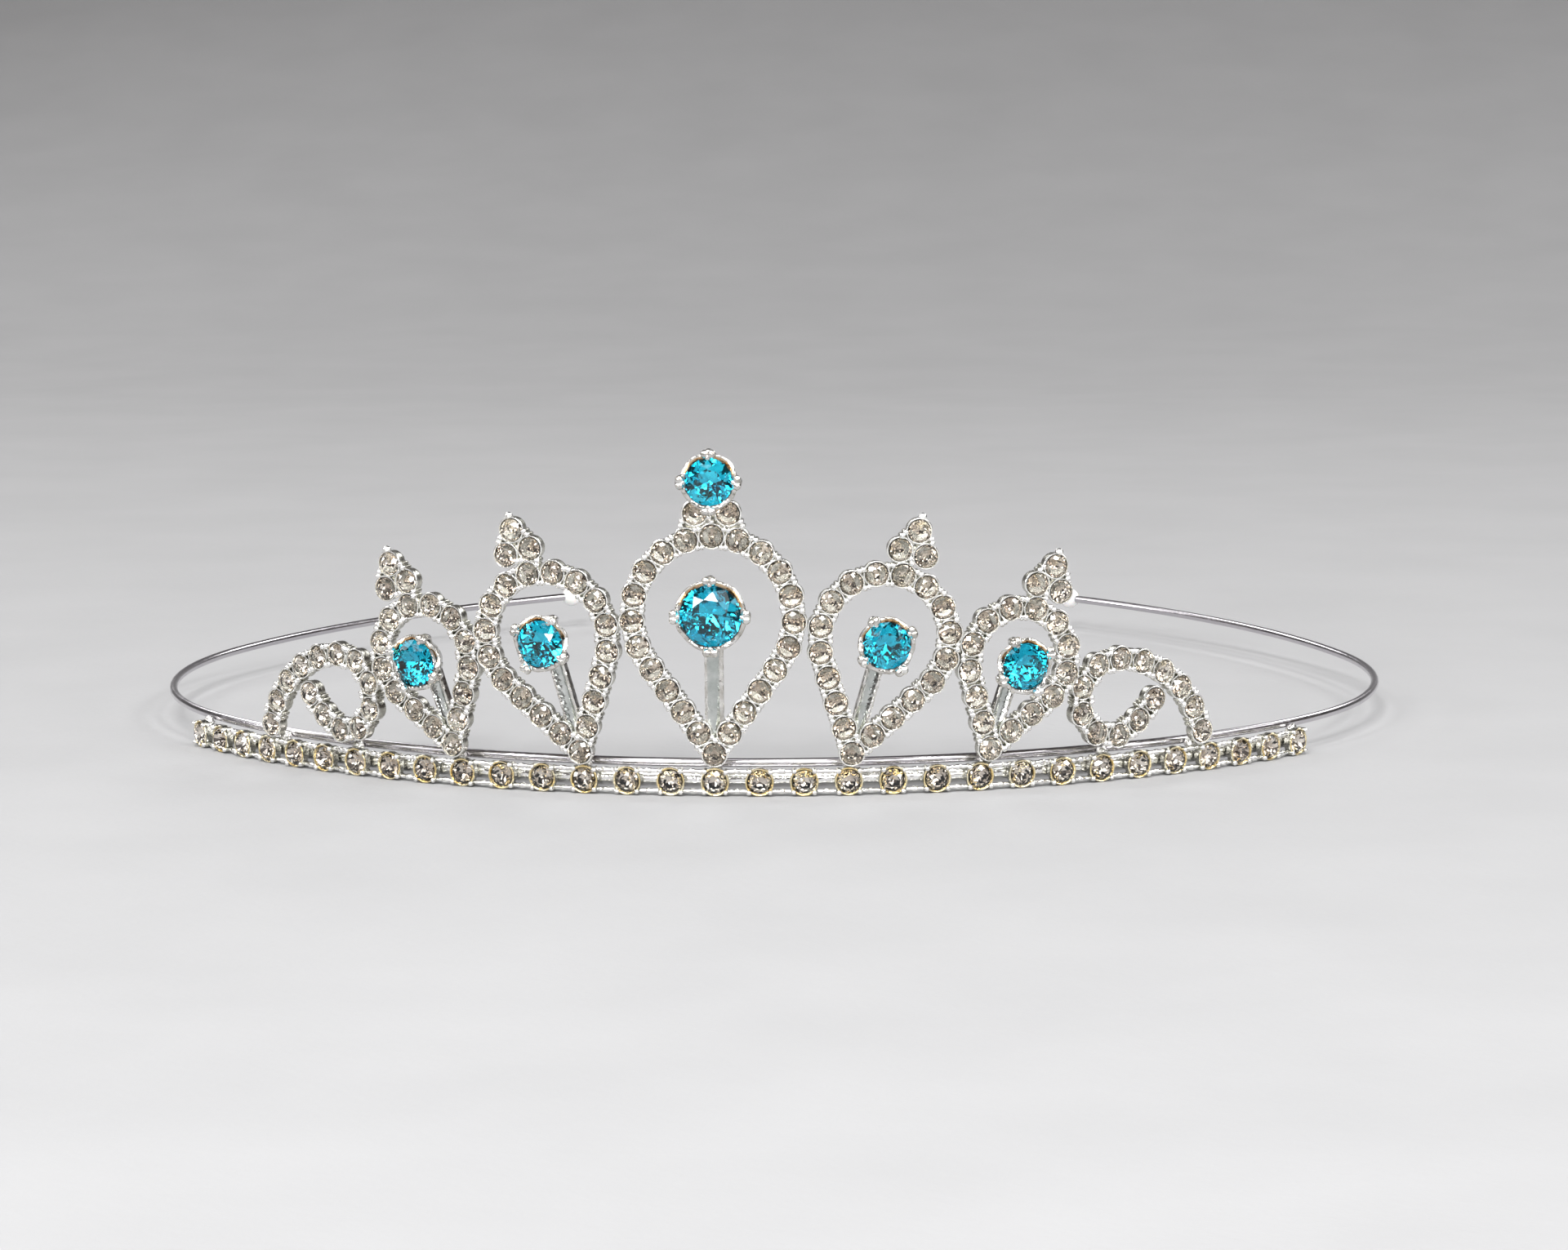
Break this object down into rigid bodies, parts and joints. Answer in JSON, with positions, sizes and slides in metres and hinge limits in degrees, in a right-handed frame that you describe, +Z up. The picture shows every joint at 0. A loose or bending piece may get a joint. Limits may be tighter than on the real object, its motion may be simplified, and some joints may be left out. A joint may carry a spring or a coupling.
{
  "type": "bridal tiara",
  "caption": "Bridal tiara: spring-wire headband with a row of clear stones, teardrop loops, scrolls and blue stones in claw crowns.",
  "frame": {"origin": "middle of the bounding box on the surface the tiara stands on", "axes": "+X across the tiara to the right seen from the front, -Y towards the front, +Z up"},
  "size_m": [0.137, 0.131, 0.0355],
  "materials": {
    "silver_plate": "bright silver plate on cast metal",
    "spring_wire": "bright drawn spring wire",
    "clear_stone": "clear faceted glass, foil backed",
    "blue_stone": "teal-blue faceted glass, foil backed",
    "ball_tip": "gloss white",
    "solder": "plated solder"
  },
  "bodies": {
    "tiara": {"headband_front": "spring_wire", "base_rail": "silver_plate", "base_row_cups": "silver_plate", "base_row_links": "silver_plate", "base_row_stones": "clear_stone", "centre_loop_frame": "silver_plate", "centre_loop_stones": "clear_stone", "centre_stem": "silver_plate", "centre_crown": "silver_plate", "centre_blue_stone": "blue_stone", "top_crown": "silver_plate", "top_blue_stone": "blue_stone", "mid_loop_frame_left": "silver_plate", "mid_loop_stones_left": "clear_stone", "mid_stem_left": "silver_plate", "mid_crown_left": "silver_plate", "mid_blue_stone_left": "blue_stone", "mid_loop_frame_right": "silver_plate", "mid_loop_stones_right": "clear_stone", "mid_stem_right": "silver_plate", "mid_crown_right": "silver_plate", "mid_blue_stone_right": "blue_stone", "outer_loop_frame_left": "silver_plate", "outer_loop_stones_left": "clear_stone", "outer_stem_left": "silver_plate", "outer_crown_left": "silver_plate", "outer_blue_stone_left": "blue_stone", "outer_loop_frame_right": "silver_plate", "outer_loop_stones_right": "clear_stone", "outer_stem_right": "silver_plate", "outer_crown_right": "silver_plate", "outer_blue_stone_right": "blue_stone", "scroll_frame_left": "silver_plate", "scroll_stones_left": "clear_stone", "scroll_frame_right": "silver_plate", "scroll_stones_right": "clear_stone", "solder_joints": "solder"},
    "arm_left": {"headband_arm_left": "spring_wire", "ball_tip_left": "ball_tip"},
    "arm_right": {"headband_arm_right": "spring_wire", "ball_tip_right": "ball_tip"}
  },
  "joints": [
    {"name": "arm_left_flex", "type": "hinge", "parent": "tiara", "child": "arm_left", "pos_m": [-0.06597, -0.01571, 0.0031], "axis": [0, 0, 1], "range_deg": [0, 10], "stiffness_Nm_per_rad": 0.136},
    {"name": "arm_right_flex", "type": "hinge", "parent": "tiara", "child": "arm_right", "pos_m": [0.06597, -0.01571, 0.0031], "axis": [0, 0, -1], "range_deg": [0, 10], "stiffness_Nm_per_rad": 0.136}
  ]
}
